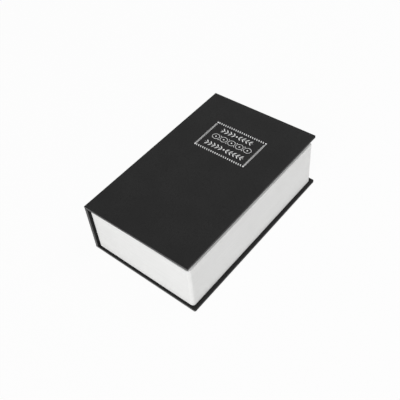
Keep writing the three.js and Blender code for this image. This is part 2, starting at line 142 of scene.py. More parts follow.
def finish_piece(piece, name, body, material, smooth_degrees=35):
    """Name a piece, set its place and finish, and let it ride on a body of the frame, when one is given.
    """
    activate(piece)
    bpy.ops.object.transform_apply(location=True, rotation=True, scale=True)
    bpy.ops.object.shade_smooth_by_angle(angle=math.radians(smooth_degrees))
    if body:
        add_modifier(piece, "WEIGHTED_NORMAL", keep_sharp=True)
    piece.name = name
    piece.data.name = name
    piece.data.materials.clear()
    piece.data.materials.append(material)
    if body:
        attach(piece, body)
    print(f"{name}: {len(piece.data.polygons)} faces")
    return piece


def add_modifier(piece, kind, **settings):
    """Add a modifier, set it and apply it."""
    activate(piece)
    modifier = piece.modifiers.new(kind.lower(), kind)
    for name, value in settings.items():
        setattr(modifier, name, value)
    bpy.ops.object.modifier_apply(modifier=modifier.name)


def join_pieces(pieces):
    """Join several meshes into the first."""
    clear_selection()
    for piece in pieces:
        piece.select_set(True)
    bpy.context.view_layer.objects.active = pieces[0]
    bpy.ops.object.join()
    return pieces[0]


# %% [markdown]
# ## Directions and the camera
#
# The camera and the lamps are placed by two angles: round the book from its tail towards the fore
# edge, and up from the floor.
#
# The viewpoint was solved from the book's own straight edges. It stands 43 degrees round from the tail
# towards the fore edge and 48 degrees up, with the camera rolled 6 degrees, and the lens is a little
# longer than normal. The camera is set by those angles and by the point that it looks at, inside the
# book.

# %% Place the camera
def direction(azimuth, elevation):
    """A vector of length one out from the book, by its two angles in radians."""
    level = math.cos(elevation)
    return Vector((math.sin(azimuth) * level, -math.cos(azimuth) * level, math.sin(elevation)))


view_point = Vector((0.97, -10.21, 28.26)) * MM
view_distance = 573.05 * MM
view_azimuth = math.radians(43.43)
view_elevation = math.radians(48.23)
view_roll = math.radians(-5.99)

towards_camera = direction(view_azimuth, view_elevation)
bpy.ops.object.camera_add(location=view_point + view_distance * towards_camera)
camera = bpy.context.object
camera.name = "photo_camera"
upright = (-towards_camera).to_track_quat("-Z", "Y")
camera.rotation_euler = (upright @ Quaternion((0, 0, 1), view_roll)).to_euler()
camera.data.sensor_width = 36
camera.data.lens = 57.99
camera.data.clip_start = 10 * MM
bpy.context.scene.camera = camera
print("camera at", tuple(round(c, 4) for c in camera.location))

# %% [markdown]
# ## Colours and shader nodes
#
# Colours are written as the eye sees them, in sRGB hex, and one function turns them to the linear
# values that the shaders work in. One other function adds any node, with its settings and its links, so
# that a material reads from top to bottom like a recipe.

# %% Helpers for materials
def linear(hex_colour):
    """An sRGB hex colour such as #2b2b2b as linear RGBA."""
    values = [int(hex_colour[i:i + 2], 16) / 255 for i in (1, 3, 5)]
    return [v / 12.92 if v <= 0.04045 else ((v + 0.055) / 1.055) ** 2.4 for v in values] + [1]


def set_inputs(tree, node, inputs):
    """Give inputs of a node a value, or a socket that is linked to them."""
    for name, value in inputs.items():
        if isinstance(value, bpy.types.NodeSocket):
            tree.links.new(value, node.inputs[name])
        else:
            node.inputs[name].default_value = value


def add_node(tree, kind, inputs, **settings):
    """Add a node with its inputs and its settings."""
    made = tree.nodes.new(kind)
    for name, value in settings.items():
        setattr(made, name, value)
    set_inputs(tree, made, inputs)
    return made


def start_material(name):
    """A new material with its tree, its Principled shader and the object's own coordinates."""
    material = bpy.data.materials.new(name)
    material.use_nodes = True
    tree = material.node_tree
    shader = tree.nodes["Principled BSDF"]
    place = tree.nodes.new("ShaderNodeTexCoord").outputs["Object"]
    return material, tree, shader, place


def wire(tree, shader, **inputs):
    """Set the named inputs of a shader, with _ for a space in a name."""
    set_inputs(tree, shader, {name.replace("_", " "): value for name, value in inputs.items()})


# %% [markdown]
# ## Floor and light
#
# The book lies on a plain pale floor in soft studio light. A large lamp stands low in front, nearly
# facing the tail, so that the tail of the pages is the brightest face, and a smaller one stands behind
# the book's head. The floor is white to the camera, but keeps a part of its own shading, and with it
# the book's shadow.

# %% Floor, world and lamps
def camera_sees(tree):
    """One where a camera, glossy or transmission ray meets the surface, and zero elsewhere."""
    rays = tree.nodes.new("ShaderNodeLightPath").outputs
    seen = add_node(tree, "ShaderNodeMath", {
        0: rays["Is Camera Ray"], 1: rays["Is Glossy Ray"],
    }, operation="ADD")
    return add_node(tree, "ShaderNodeMath", {
        0: seen.outputs[0], 1: rays["Is Transmission Ray"],
    }, operation="ADD", use_clamp=True).outputs[0]


def studio_floor():
    """A matt white backdrop, mostly shown as plain white to the camera."""
    material, tree, shader, place = start_material("matt_white_backdrop")
    mottle = add_node(tree, "ShaderNodeTexNoise", {"Vector": place, "Scale": 8})
    tone = add_node(tree, "ShaderNodeMix", {
        "Factor": mottle.outputs["Fac"], 6: linear("#d0d0d0"), 7: linear("#d5d5d5"),
    }, data_type="RGBA")
    wire(tree, shader, Base_Color=tone.outputs[2], Roughness=0.9, Specular_IOR_Level=0.2)
    glow = add_node(tree, "ShaderNodeEmission", {"Color": [1, 1, 1, 1], "Strength": 1})
    shown = add_node(tree, "ShaderNodeMath", {0: camera_sees(tree), 1: 0.95}, operation="MULTIPLY")
    mixed = add_node(tree, "ShaderNodeMixShader", {
        0: shown.outputs[0], 1: shader.outputs[0], 2: glow.outputs[0],
    })
    tree.links.new(mixed.outputs[0], tree.nodes["Material Output"].inputs["Surface"])
    return material


def add_lamp(name, azimuth, elevation, distance, size, watts):
    """A soft square lamp aimed at the middle of the book."""
    out = direction(math.radians(azimuth), math.radians(elevation))
    bpy.ops.object.light_add(type="AREA", location=view_point + out * distance)
    lamp = bpy.context.object
    lamp.name = name
    lamp.rotation_euler = (-out).to_track_quat("-Z", "Y").to_euler()
    lamp.data.shape = "SQUARE"
    lamp.data.size = size
    lamp.data.energy = watts
    lamp.visible_camera = False
    return lamp


clear_selection()
floor_drop = 0.1 * MM
bpy.ops.mesh.primitive_plane_add(size=8, location=(0, 0, -floor_drop))
floor = bpy.context.object
floor.name = "studio_floor"
floor.data.materials.append(studio_floor())

world = bpy.data.worlds.new("studio")
bpy.context.scene.world = world
world.use_nodes = True
sky = world.node_tree
ambient = sky.nodes["Background"]
ambient.inputs["Color"].default_value = [1, 1, 1, 1]
ambient.inputs["Strength"].default_value = 0.44
backdrop = add_node(sky, "ShaderNodeBackground", {"Color": [1, 1, 1, 1], "Strength": 1})
sky_mix = add_node(sky, "ShaderNodeMixShader", {
    0: camera_sees(sky), 1: ambient.outputs[0], 2: backdrop.outputs[0],
})
sky.links.new(sky_mix.outputs[0], sky.nodes["World Output"].inputs["Surface"])

add_lamp("front_softbox", azimuth=20, elevation=24, distance=2.4, size=1.5, watts=34)
add_lamp("rear_softbox", azimuth=140, elevation=55, distance=1.0, size=0.6, watts=3.6)
bpy.context.scene.view_settings.view_transform = "Standard"

# %% [markdown]
# ## Finish: black leatherette
#
# The covers are wrapped in bookbinder's leatherette, a paper coated with soft black PVC and pressed
# between embossed rollers. It has a fine leather grain of rounded cells, about a millimetre across,
# with darker creases between them. The coating is matt. Round the edges of the boards it is stretched
# thin and rubbed, and the colour there is greyer, most of all at the tail and head, on which a book
# stands: partly this real wear, and partly a painted highlight of light catching the rounded edges.
# The cells come from a Voronoi pattern, whose distance to the cell's edge gives the creases. The share
# of paler edge colour, wear and painted highlight together, is an attribute, which each cover stores
# on its own faces.

# %% Leatherette
def leatherette():
    """PVC-coated paper with an embossed leather grain: an even, matt, slightly pebbled black."""
    material, tree, shader, place = start_material("black_leatherette")
    grain = 1.1 * MM
    wander = 0.8 * MM
    drift = add_node(tree, "ShaderNodeTexNoise", {"Vector": place, "Scale": 1 / (6 * MM), "Detail": 2})
    bent = add_node(tree, "ShaderNodeMix", {
        "Factor": wander, 4: place, 5: drift.outputs["Color"],
    }, data_type="VECTOR")
    cells = add_node(tree, "ShaderNodeTexVoronoi", {
        "Vector": bent.outputs[1], "Scale": 1 / grain,
    }, feature="DISTANCE_TO_EDGE")
    crease_width = add_node(tree, "ShaderNodeMapRange", {
        "Value": cells.outputs["Distance"], "From Min": 0.0, "From Max": 0.22,
    }, interpolation_type="SMOOTHSTEP")
    pores = add_node(tree, "ShaderNodeTexNoise", {"Vector": place, "Scale": 1 / (0.25 * MM), "Detail": 3})
    patches = add_node(tree, "ShaderNodeTexNoise", {"Vector": place, "Scale": 1 / (28 * MM), "Detail": 3})
    clouded = add_node(tree, "ShaderNodeMapRange", {
        "Value": patches.outputs["Fac"], "From Min": 0.35, "From Max": 0.65,
    })
    base = add_node(tree, "ShaderNodeMix", {
        "Factor": clouded.outputs[0], 6: linear("#242424"), 7: linear("#292929"),
    }, data_type="RGBA")
    colour = add_node(tree, "ShaderNodeMix", {
        "Factor": crease_width.outputs[0], 6: linear("#1e1e1e"), 7: base.outputs[2],
    }, data_type="RGBA")
    # Paler edge colour: partly real rubbing of the coating, partly a painted highlight of light on the
    # rounded edges.
    rub_and_highlight_noise = add_node(tree, "ShaderNodeTexNoise", {"Vector": place, "Scale": 1 / (4 * MM), "Detail": 3})
    rubbed_and_highlight_colour = add_node(tree, "ShaderNodeMix", {
        "Factor": rub_and_highlight_noise.outputs["Fac"], 6: linear("#484848"), 7: linear("#6a6a6a"),
    }, data_type="RGBA")
    edges = add_node(tree, "ShaderNodeAttribute", {}, attribute_name="wear_and_highlight")
    coat = add_node(tree, "ShaderNodeMix", {
        "Factor": edges.outputs["Fac"], 6: colour.outputs[2], 7: rubbed_and_highlight_colour.outputs[2],
    }, data_type="RGBA")
    gloss = add_node(tree, "ShaderNodeMapRange", {
        "Value": pores.outputs["Fac"], "From Min": 0.3, "From Max": 0.7, "To Min": 0.58, "To Max": 0.72,
    })
    height = add_node(tree, "ShaderNodeMath", {
        0: pores.outputs["Fac"], 1: 0.25, 2: crease_width.outputs[0],
    }, operation="MULTIPLY_ADD")
    bump = add_node(tree, "ShaderNodeBump", {
        "Strength": 0.35, "Distance": 0.06 * MM, "Height": height.outputs[0],
    })
    wire(
        tree, shader, Base_Color=coat.outputs[2], Roughness=gloss.outputs[0], Normal=bump.outputs[0],
        Specular_IOR_Level=0.1,
    )
    return material


# %% [markdown]
# ## Finish: endpaper and greyboard
#
# Inside the covers lies black endpaper, which is dyed right through and shows short fibres. The boards
# are greyboard, pulped from waste paper, speckled with darker and lighter flecks. It is wrapped on all
# sides, but it is finished too, because an assembly can be taken apart.

# %% Papers
def fibred_paper(name, dark, light, fibre, roughness):
    """Pressed paper fibre: short directionless streaks give a dull, faintly clouded surface."""
    material, tree, shader, place = start_material(name)
    stretched = add_node(tree, "ShaderNodeMapping", {"Vector": place, "Scale": [1, 0.3, 1]})
    streaks = add_node(tree, "ShaderNodeTexNoise", {
        "Vector": stretched.outputs[0], "Scale": 1 / fibre, "Detail": 4, "Distortion": 1.5,
    })
    clouds = add_node(tree, "ShaderNodeTexNoise", {"Vector": place, "Scale": 1 / (9 * MM), "Detail": 2})
    mixed = add_node(tree, "ShaderNodeMath", {
        0: clouds.outputs["Fac"], 1: 0.4, 2: streaks.outputs["Fac"],
    }, operation="MULTIPLY_ADD")
    share = add_node(tree, "ShaderNodeMapRange", {
        "Value": mixed.outputs[0], "From Min": 0.5, "From Max": 0.9,
    })
    colour = add_node(tree, "ShaderNodeMix", {
        "Factor": share.outputs[0], 6: linear(dark), 7: linear(light),
    }, data_type="RGBA")
    bump = add_node(tree, "ShaderNodeBump", {
        "Strength": 0.3, "Distance": 0.04 * MM, "Height": streaks.outputs["Fac"],
    })
    wire(
        tree, shader, Base_Color=colour.outputs[2], Roughness=roughness, Normal=bump.outputs[0],
        Specular_IOR_Level=0.2,
    )
    return material


# %% [markdown]
# ## Finish: the moulded pages
#
# The pages are white polystyrene, moulded against a tool cut with fine lines so that they pass for a
# block of paper. The lines themselves are modelled on the piece, and the material adds what is too fine
# to model: thin streaks along the leaves, a little lighter and darker, and a faint unevenness of the
# plastic's gloss. The streaks come from a noise that is stretched far more along the book than up it.

# %% Page plastic
def page_plastic():
    """Moulded white polystyrene: an eggshell white with hairline streaks, like the edges of cut paper."""
    material, tree, shader, place = start_material("moulded_white_polystyrene")
    leaf = 0.35 * MM
    along = 60 * MM
    flat = add_node(tree, "ShaderNodeMapping", {
        "Vector": place, "Scale": [1 / along, 1 / along, 1 / leaf],
    })
    leaves = add_node(tree, "ShaderNodeTexNoise", {"Vector": flat.outputs[0], "Scale": 1, "Detail": 4})
    clouds = add_node(tree, "ShaderNodeTexNoise", {"Vector": place, "Scale": 1 / (22 * MM), "Detail": 2})
    mixed = add_node(tree, "ShaderNodeMath", {
        0: clouds.outputs["Fac"], 1: 0.35, 2: leaves.outputs["Fac"],
    }, operation="MULTIPLY_ADD")
    share = add_node(tree, "ShaderNodeMapRange", {
        "Value": mixed.outputs[0], "From Min": 0.45, "From Max": 0.9,
    })
    colour = add_node(tree, "ShaderNodeMix", {
        "Factor": share.outputs[0], 6: linear("#e6e6e5"), 7: linear("#efefee"),
    }, data_type="RGBA")
    bump = add_node(tree, "ShaderNodeBump", {
        "Strength": 0.25, "Distance": 0.05 * MM, "Height": leaves.outputs["Fac"],
    })
    wire(
        tree, shader, Base_Color=colour.outputs[2], Roughness=0.62, Normal=bump.outputs[0],
        Specular_IOR_Level=0.3,
    )
    return material


# %% [markdown]
# ## Finish: powder coat, zinc and nickel
#
# The box and its lid are folded sheet steel with a black powder coat, which flows into a fine orange
# peel as it bakes. Washers, cam, keeper, rivets and pin are zinc-plated, with a pale and slightly
# uneven sheen. The lock is nickel-plated brass, turned on a lathe and then polished, so fine rings run
# round its axis. Their pattern is a noise that reads only the distance from that axis, and the height
# along it.

# %% Metals
def powder_coat():
    """Baked epoxy powder on steel: satin black with the low, rounded ripple of orange peel."""
    material, tree, shader, place = start_material("black_powder_coat")
    peel = add_node(tree, "ShaderNodeTexNoise", {"Vector": place, "Scale": 1 / (0.7 * MM), "Detail": 2})
    cloud = add_node(tree, "ShaderNodeTexNoise", {"Vector": place, "Scale": 1 / (15 * MM), "Detail": 3})
    colour = add_node(tree, "ShaderNodeMix", {
        "Factor": cloud.outputs["Fac"], 6: linear("#2b2d30"), 7: linear("#34373a"),
    }, data_type="RGBA")
    gloss = add_node(tree, "ShaderNodeMapRange", {
        "Value": peel.outputs["Fac"], "From Min": 0.3, "From Max": 0.7, "To Min": 0.38, "To Max": 0.5,
    })
    bump = add_node(tree, "ShaderNodeBump", {
        "Strength": 0.4, "Distance": 0.05 * MM, "Height": peel.outputs["Fac"],
    })
    wire(tree, shader, Base_Color=colour.outputs[2], Roughness=gloss.outputs[0], Normal=bump.outputs[0])
    return material


def plated_metal(name, dark, light, cloud_size, scratch, roughness_low, roughness_high):
    """A bright plating: clouded in tone, with fine scratches that spread its reflections."""
    material, tree, shader, place = start_material(name)
    cloud = add_node(tree, "ShaderNodeTexNoise", {"Vector": place, "Scale": 1 / cloud_size, "Detail": 3})
    thin = add_node(tree, "ShaderNodeMapping", {"Vector": place, "Scale": [1, 0.08, 1]})
    lines = add_node(tree, "ShaderNodeTexNoise", {
        "Vector": thin.outputs[0], "Scale": 1 / scratch, "Detail": 3,
    })
    colour = add_node(tree, "ShaderNodeMix", {
        "Factor": cloud.outputs["Fac"], 6: linear(dark), 7: linear(light),
    }, data_type="RGBA")
    gloss = add_node(tree, "ShaderNodeMapRange", {
        "Value": lines.outputs["Fac"], "From Min": 0.3, "From Max": 0.7,
        "To Min": roughness_low, "To Max": roughness_high,
    })
    bump = add_node(tree, "ShaderNodeBump", {
        "Strength": 0.12, "Distance": 0.02 * MM, "Height": lines.outputs["Fac"],
    })
    wire(
        tree, shader, Base_Color=colour.outputs[2], Roughness=gloss.outputs[0], Normal=bump.outputs[0],
        Metallic=1.0,
    )
    return material


def turned_nickel(axis_x):
    """Nickel plate on turned brass: bright, with the lathe's rings drawn round an upright axis."""
    material, tree, shader, place = start_material("turned_nickel_plating")
    centred = add_node(tree, "ShaderNodeMapping", {"Vector": place, "Location": [-axis_x, 0, 0]})
    flat = add_node(tree, "ShaderNodeVectorMath", {
        0: centred.outputs[0], 1: [1, 1, 0],
    }, operation="MULTIPLY")
    distance = add_node(tree, "ShaderNodeVectorMath", {0: flat.outputs[0]}, operation="LENGTH")
    along = add_node(tree, "ShaderNodeSeparateXYZ", {"Vector": place})
    spread = add_node(tree, "ShaderNodeMath", {
        0: distance.outputs["Value"], 1: along.outputs["Z"],
    }, operation="ADD")
    rings = add_node(tree, "ShaderNodeTexNoise", {
        "W": spread.outputs[0], "Scale": 1 / (0.3 * MM), "Detail": 3,
    }, noise_dimensions="1D")
    cloud = add_node(tree, "ShaderNodeTexNoise", {"Vector": place, "Scale": 1 / (7 * MM), "Detail": 3})
    colour = add_node(tree, "ShaderNodeMix", {
        "Factor": cloud.outputs["Fac"], 6: linear("#b8b6b0"), 7: linear("#cecbc5"),
    }, data_type="RGBA")
    gloss = add_node(tree, "ShaderNodeMapRange", {
        "Value": rings.outputs["Fac"], "From Min": 0.3, "From Max": 0.7, "To Min": 0.14, "To Max": 0.32,
    })
    bump = add_node(tree, "ShaderNodeBump", {
        "Strength": 0.35, "Distance": 0.02 * MM, "Height": rings.outputs["Fac"],
    })
    wire(
        tree, shader, Base_Color=colour.outputs[2], Roughness=gloss.outputs[0], Normal=bump.outputs[0],
        Metallic=1.0,
    )
    return material


# %% [markdown]
# ## Finish: silver foil
#
# The ornament on the cover is hot-stamped foil: a heated die presses a metallised film into the
# leatherette. The film takes up the grain beneath it, so it does not mirror but scatters light as an
# even pale grey, with tiny gaps where the grain dips away from the die.

# %% Foil
def stamped_foil():
    """Hot-stamped silver film: a soft pale grey that glints a little along the grain."""
    material, tree, shader, place = start_material("silver_stamping_foil")
    grain = 0.6 * MM
    dips = add_node(tree, "ShaderNodeTexNoise", {"Vector": place, "Scale": 1 / grain, "Detail": 3})
    share = add_node(tree, "ShaderNodeMapRange", {
        "Value": dips.outputs["Fac"], "From Min": 0.32, "From Max": 0.5,
    })
    colour = add_node(tree, "ShaderNodeMix", {
        "Factor": share.outputs[0], 6: linear("#bcbcbc"), 7: linear("#e8e8e8"),
    }, data_type="RGBA")
    bump = add_node(tree, "ShaderNodeBump", {
        "Strength": 0.3, "Distance": 0.04 * MM, "Height": dips.outputs["Fac"],
    })
    wire(
        tree, shader, Base_Color=colour.outputs[2], Roughness=0.42, Normal=bump.outputs[0], Metallic=0.85,
    )
    return material


# %% Make the finishes
black_leatherette = leatherette()
endpaper = fibred_paper("black_endpaper", "#131313", "#1d1d1d", 0.5 * MM, 0.85)
greyboard = fibred_paper("pressed_greyboard", "#7d766b", "#9a9387", 0.8 * MM, 0.95)
white_pages = page_plastic()
black_powder = powder_coat()
zinc = plated_metal("bright_zinc_plating", "#9a9ea2", "#bfc2c2", 5 * MM, 0.3 * MM, 0.3, 0.45)
lock_axis = Vector(joints["lock_turn"]["pos_m"])
nickel = turned_nickel(lock_axis.x)
silver_foil = stamped_foil()
print("finishes:", sorted(m.name for m in bpy.data.materials if m.users))

# %% [markdown]
# ## Boards and papers
#
# Nodes whose shape is already right keep their mesh and only get their finish. Those are the three
# boards and the three lining papers, which are flat sheets in the real book too.

# %% Finish the flat sheets
for kind, finish in (("board", greyboard), ("lining", endpaper)):
    for side in ("back", "spine", "front"):
        sheet = frame["nodes"][f"{side}_{kind}"].data
        sheet.materials.clear()
        sheet.materials.append(finish)
        print(f"{side}_{kind}: {finish.name}")


# %% [markdown]
# ## Dressing a node
#
# Steel sheet, plastic and wrapped board have no knife edges. For each such node a copy of its mesh is
# merged, its flat faces are dissolved into single ones, and its edges are rounded with a bevel, by a
# radius that suits the real piece. The copy stands for the node, which stays in the frame unseen.
#
# Turned parts have 24 sides in the frame. Each side's edges are cut in four, and the new points are
# pushed out to the ring that they belong to, which leaves 96 sides. The middle of a side lies up to a
# hundredth of the radius inside its ring, and that is how a new point finds it. A piece that needs a
# thread or a recess is then cut by another closed body.

# %% A merged copy of a node
def merged_copy(node):
    """A copy of a node's mesh with its loose triangles joined into whole faces."""
    copy = bpy.data.objects.new(node + "_copy", frame["nodes"][node].data.copy())
    bpy.context.scene.collection.objects.link(copy)
    activate(copy)
    bpy.ops.mesh.customdata_custom_splitnormals_clear()
    bpy.ops.object.mode_set(mode="EDIT")
    bpy.ops.mesh.select_all(action="SELECT")
    bpy.ops.mesh.remove_doubles(threshold=0.001 * MM)
    bpy.ops.mesh.dissolve_limited(angle_limit=math.radians(0.3))
    leave_edit()
    return copy


def finer_rings(piece, centre, axis, radii=()):
    """Cut the sides of rings about an axis in four on a round line: all rings, or those of some radii."""
    u, v = [i for i in (ACROSS, ALONG, UP) if i != axis]
    near = 0.003 * MM
    widest_side = math.radians(16)
    side_middle = 0.99

    def distance(p):
        return math.hypot(p[u] - centre[u], p[v] - centre[v])

    def on_ring(a, b):
        level = abs(a[axis] - b[axis]) < near and abs(distance(a) - distance(b)) < near
        chosen = not radii or any(abs(distance(a) - radius) < near for radius in radii)
        return level and chosen and (a - b).length < 2 * distance(a) * math.sin(widest_side / 2)

    places = [vertex.co.copy() for vertex in piece.data.vertices]
    ends = [(places[edge.vertices[0]], places[edge.vertices[1]]) for edge in piece.data.edges]
    rings = {(round(a[axis] / near), round(distance(a) / near)) for a, b in ends if on_ring(a, b)}
    pick(piece, "EDGE", on_ring)
    bpy.ops.mesh.subdivide(number_cuts=3)
    leave_edit()
    for vertex in piece.data.vertices:
        r = distance(vertex.co)
        fits = [
            ring * near for level, ring in rings
            if abs(level * near - vertex.co[axis]) < 2 * near
            and ring * near * side_middle < r < (ring + 1) * near
        ]
        if fits:
            grow = min(fits) / r
            vertex.co[u] = centre[u] + (vertex.co[u] - centre[u]) * grow
            vertex.co[v] = centre[v] + (vertex.co[v] - centre[v]) * grow


def cut(piece, cutter, operation):
    """Cut a piece with another closed body, which is thrown away."""
    add_modifier(piece, "BOOLEAN", operation=operation, object=cutter, solver="EXACT")
    bpy.data.objects.remove(cutter)


def dress(node, name, body, material, radius, steps=2, rings=(), cutters=(), operation="DIFFERENCE"):
    """A node with its rings made finer, its sharp edges rounded and its cuts made, on its body."""
    piece = merged_copy(node)
    for ring in rings:
        finer_rings(piece, *ring)
    sharp = math.radians(32)
    add_modifier(piece, "BEVEL", width=radius, segments=steps, limit_method="ANGLE", angle_limit=sharp)
    for cutter in cutters:
        cut(piece, cutter, operation)
    edit_all(piece)
    bpy.ops.mesh.dissolve_degenerate(threshold=0.001 * MM)
    leave_edit()
    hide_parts(node)
    return finish_piece(piece, name, body, material)


# %% [markdown]
# ## The covers
#
# Each cover's sheet is drawn tight round its board, so the board's edges show as soft corners of about
# a third of a millimetre, while the sheet's own cut edges inside are crisp. Only the outermost edges
# are therefore picked. A face is outermost if the whole piece lies behind it, and an edge if two such
# faces meet there at a sharp angle. The spine keeps the edges at its two creases, where the sheet runs
# on and nothing rubs it.

# %% Wrapped covers
def outer_faces(mesh):
    """The faces that have the whole mesh behind them."""
    points = [vertex.co.copy() for vertex in mesh.vertices]
    near = 0.005 * MM
    return [f for f in mesh.polygons if all((p - f.center).dot(f.normal) < near for p in points)]


def soften_outer_edges(piece, radius, keep_creases):
    """Round the sharp edges between a cover's outermost faces."""
    mesh = piece.data
    least_angle = math.radians(40)
    facing = {}
    for face in outer_faces(mesh):
        in_crease = abs(face.normal.z) > 0.9
        if not (keep_creases and in_crease):
            for key in face.edge_keys:
                facing.setdefault(key, []).append(face.normal.copy())
    sharp = {
        frozenset(tuple(mesh.vertices[i].co) for i in key)
        for key, normals in facing.items()
        if len(normals) == 2 and normals[0].angle(normals[1]) > least_angle
    }
    pick(piece, "EDGE", lambda a, b: frozenset((tuple(a), tuple(b))) in sharp)
    bpy.ops.mesh.bevel(offset=radius, segments=4, profile=0.5, affect="EDGES", clamp_overlap=True)
    leave_edit()
    print(piece.name, "edges rounded:", len(sharp))


def note_wear_and_highlight(cover, broad_axis, long_edges):
    """Store each face's share of paler edge colour, real wear and painted highlight: none on the broad
    faces, full at head and tail, a share on the rest.
    """
    starts, full = 25, 75
    wear_and_highlight = cover.data.attributes.new("wear_and_highlight", "FLOAT", "FACE")
    for face in cover.data.polygons:
        tipped = math.degrees(math.acos(min(1, abs(face.normal[broad_axis]))))
        share = 1 if abs(face.normal.y) > 0.5 else long_edges
        wear_and_highlight.data[face.index].value = share * min(1, max(0, (tipped - starts) / (full - starts)))


board_radius = 0.35 * MM
# Share of the paler edge colour, wear and painted highlight, on the long edges.
wear_and_highlight_share = 0.45
for node, body, broad_axis, long_edges in (
    ("back_wrap", "case", UP, wear_and_highlight_share),
    ("front_wrap", "front_cover", UP, wear_and_highlight_share),
    ("spine_wrap", "case", ACROSS, 0),
):
    cover = merged_copy(node)
    soften_outer_edges(cover, board_radius, keep_creases=node == "spine_wrap")
    note_wear_and_highlight(cover, broad_axis, long_edges)
    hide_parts(node)
    finish_piece(cover, node.replace("_wrap", "_leatherette"), body, black_leatherette)

# %% [markdown]
# ## The creases
#
# The three sheets are one sheet in the real book, folded at the spine's two long edges. A narrow strip
# closes each fold from within the thickness of the sheets. The one at the bottom never moves, and rides
# on the case. The one at the top, where the real sheet bends from the spine to the cover as the book
# opens, is made in its place at rest and rides on neither body.

# %% Crease strips
def crease_strip(low_z, high_z, rows):
    """A strip inside the sheet's thickness, cut into rows so that it can bend."""
    bpy.ops.mesh.primitive_cube_add(size=1)
    strip = bpy.context.object
    inset = 0.03 * MM
    depth = SHEET - 2 * inset
    length = (back_high.y - back_low.y) - 2 * board_radius
    strip.scale = (depth, length, high_z - low_z)
    strip.location = (crease.x + inset + depth / 2, 0, (low_z + high_z) / 2)
    activate(strip)
    bpy.ops.object.transform_apply(location=True, rotation=True, scale=True)
    for i in range(1, rows):
        edit_all(strip)
        z = low_z + (high_z - low_z) * i / rows
        bpy.ops.mesh.bisect(plane_co=(0, 0, z), plane_no=(0, 0, 1), threshold=0.001 * MM)
    leave_edit()
    return strip


overlap = 0.35 * MM
front_crease = crease_strip(spine_high.z - overlap, crease.z + overlap, rows=12)
finish_piece(front_crease, "front_crease", None, black_leatherette)
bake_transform(front_crease)
back_crease = crease_strip(spine_low.z - overlap, spine_low.z + overlap, rows=2)
finish_piece(back_crease, "back_crease", "case", black_leatherette)

# %% [markdown]
# ## The silver ornament
#
# Towards its head the front cover bears a small cartouche in silver foil: a roped frame round three
# rows of printer's ornaments, a chain of pointed eyes between two laurel garlands. Each shape is drawn
# flat once, and its repeats are copies of it. No two shapes overlap, so that all can be joined and
# given the foil's thickness in one step.

# %% Flat shapes for the ornament
def flat_bar(length, breadth):
    """A flat rectangle about the origin."""
    bpy.ops.mesh.primitive_plane_add(size=1)
    bar = bpy.context.object
    bar.scale = (length, breadth, 1)
    bpy.ops.object.transform_apply(location=False, rotation=False, scale=True)
    return bar


def placed_copy(shape, x, y, degrees=0):
    """A copy with its own mesh, put in its place on the flat cover."""
    copy = shape.copy()
    copy.data = shape.data.copy()
    bpy.context.scene.collection.objects.link(copy)
    copy.location = (x, y, 0)
    copy.rotation_euler.z = math.radians(degrees)
    return copy


def pointed_oval(length, breadth, vertices):
    """A flat pointed oval about the origin. One half is cut from a circle, and the other is its copy."""
    radius = (length ** 2 + breadth ** 2) / (4 * breadth)
    bpy.ops.mesh.primitive_circle_add(
        vertices=vertices, radius=radius, fill_type="NGON", location=(0, breadth / 2 - radius, 0),
    )
    half = bpy.context.object
    bpy.ops.object.transform_apply(location=True, rotation=False, scale=False)
    edit_all(half)
    bpy.ops.mesh.bisect(
        plane_co=(0, 0, 0), plane_no=(0, 1, 0), clear_inner=True, threshold=0.001 * MM,
    )
    leave_edit()
    oval = join_pieces([half, placed_copy(half, 0, 0, 180)])
    edit_all(oval)
    bpy.ops.mesh.remove_doubles(threshold=0.005 * MM)
    bpy.ops.mesh.dissolve_limited(angle_limit=math.radians(0.3))
    leave_edit()
    return oval


def hollow(shape, stroke):
    """Leave only a line of even breadth along a flat shape's outline."""
    edit_all(shape)
    bpy.ops.mesh.inset(thickness=stroke)
    bpy.ops.mesh.delete(type="FACE")
    leave_edit()
    return shape


# %% [markdown]
# The frame is a row of slanted bars, like the strands of a twisted cord, with a small square at each
# corner. The bars come in pairs along the head and the tail, and stand singly and closer on the other
# two sides.

# %% Roped frame
def cord(strands, breadth, height, length, pitch):
    """Slanted bars at an even pitch along a side of the frame, before the side is put in its place."""
    slant = 0.45 * height
    spacing = 1.25 * breadth
    bar = flat_bar(breadth, height)
    pick(bar, "VERT", lambda p: p.y > 0)
    bpy.ops.transform.translate(value=(-slant, 0, 0))
    leave_edit()
    count = round(length / pitch)
    step = length / count
    row = join_pieces([
        placed_copy(bar, (i - (count - 1) / 2) * step + (k - (strands - 1) / 2) * spacing, 0)
        for i in range(count) for k in range(strands)
    ])
    bpy.ops.object.transform_apply(location=True, rotation=True, scale=True)
    bpy.data.objects.remove(bar)
    return row


frame_size = Vector((55.7, 36.25)) * MM
band = 2.0 * MM
corners = 2.2 * band
shapes = []
middle_x, middle_y = (frame_size.x - band) / 2, (frame_size.y - band) / 2
for turn, strands, pitch, breadth, length in (
    (0, 2, 2.37 * MM, 0.38 * MM, frame_size.x),
    (90, 1, 1.5 * MM, 0.53 * MM, frame_size.y),
):
    row = cord(strands, breadth, band, length - corners, pitch)
    for sign in (-1, 1):
        place = (sign * middle_x, 0) if turn else (0, sign * middle_y)
        shapes.append(placed_copy(row, *place, turn))
    bpy.data.objects.remove(row)
stud_side = 1.4 * MM
stud = flat_bar(stud_side, stud_side)
shapes += [placed_copy(stud, x * middle_x, y * middle_y) for x in (-1, 1) for y in (-1, 1)]
print("frame shapes:", len(shapes))

# %% [markdown]
# A garland is a thin stem with pairs of pointed leaves, which grow from a lozenge in the middle towards
# both ends. The chain has a small lozenge in each eye, and a bead above and below each place where two
# eyes meet.

# %% Garlands and chain
leaf_length = 3.8 * MM


